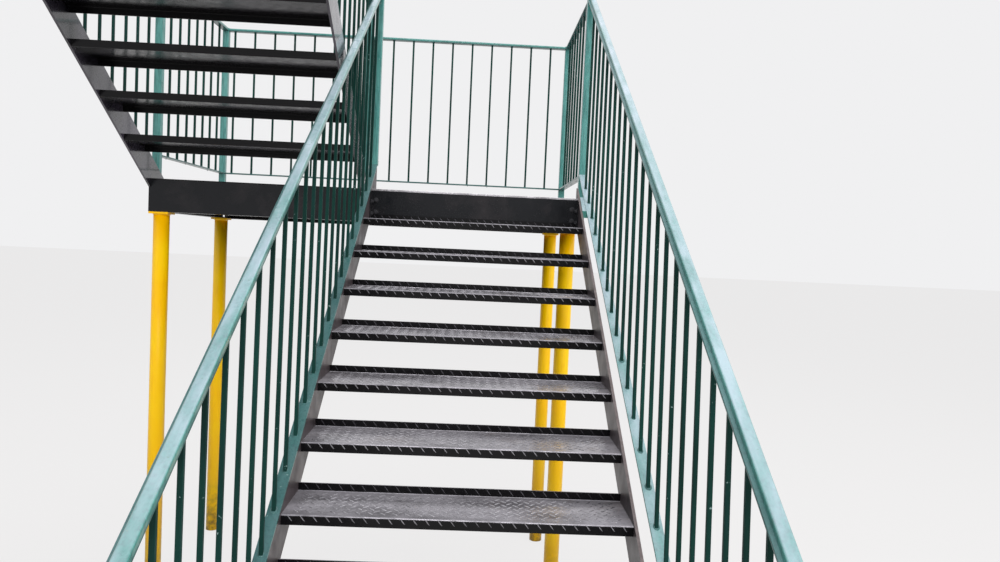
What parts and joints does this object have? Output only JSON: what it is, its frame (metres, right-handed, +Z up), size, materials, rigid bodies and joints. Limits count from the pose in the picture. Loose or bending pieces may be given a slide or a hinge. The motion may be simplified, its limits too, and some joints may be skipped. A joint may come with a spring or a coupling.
{
  "type": "outdoor steel fire escape stair with half landing",
  "caption": "Steel stair of two open-riser flights turning on a half landing, with flat-plate stringers, bent chequer plate treads, thin-bar balustrades and round posts.",
  "frame": {"origin": "middle of the footprint box, on the ground", "axes": "+Z up, +Y the way the lower flight climbs, +X to the climber's right"},
  "size_m": [2.38, 4.634, 4.6327],
  "materials": {
    "black_steel": "worn semi-gloss black paint on steel",
    "chequer_plate": "black paint worn to bare steel on the raised lugs",
    "green_enamel": "brushed gloss green enamel",
    "yellow_enamel": "gloss yellow enamel"
  },
  "bodies": {
    "root": {"lower_stringer_left": "black_steel", "lower_stringer_right": "black_steel", "lower_tread_01": "chequer_plate", "lower_tread_02": "chequer_plate", "lower_tread_03": "chequer_plate", "lower_tread_04": "chequer_plate", "lower_tread_05": "chequer_plate", "lower_tread_06": "chequer_plate", "lower_tread_07": "chequer_plate", "lower_tread_08": "chequer_plate", "lower_tread_09": "chequer_plate", "lower_tread_10": "chequer_plate", "lower_tread_11": "chequer_plate", "lower_tread_12": "chequer_plate", "lower_tread_13": "chequer_plate", "upper_stringer_inner": "black_steel", "upper_stringer_outer": "black_steel", "upper_tread_01": "chequer_plate", "upper_tread_02": "chequer_plate", "upper_tread_03": "chequer_plate", "upper_tread_04": "chequer_plate", "upper_tread_05": "chequer_plate", "upper_tread_06": "chequer_plate", "upper_tread_07": "chequer_plate", "upper_tread_08": "chequer_plate", "landing_beam_front": "black_steel", "landing_beam_rear": "black_steel", "landing_beam_left": "black_steel", "landing_beam_right": "black_steel", "landing_joists": "black_steel", "landing_floor": "chequer_plate", "post_front_right": "yellow_enamel", "post_rear_right": "yellow_enamel", "post_front_left": "yellow_enamel", "post_rear_left": "yellow_enamel", "lower_balustrade_left": "green_enamel", "lower_balustrade_right": "green_enamel", "upper_balustrade_inner": "green_enamel", "upper_balustrade_outer": "green_enamel", "landing_balustrade_rear": "green_enamel", "landing_balustrade_right": "green_enamel", "landing_balustrade_left": "green_enamel"}
  },
  "joints": []
}
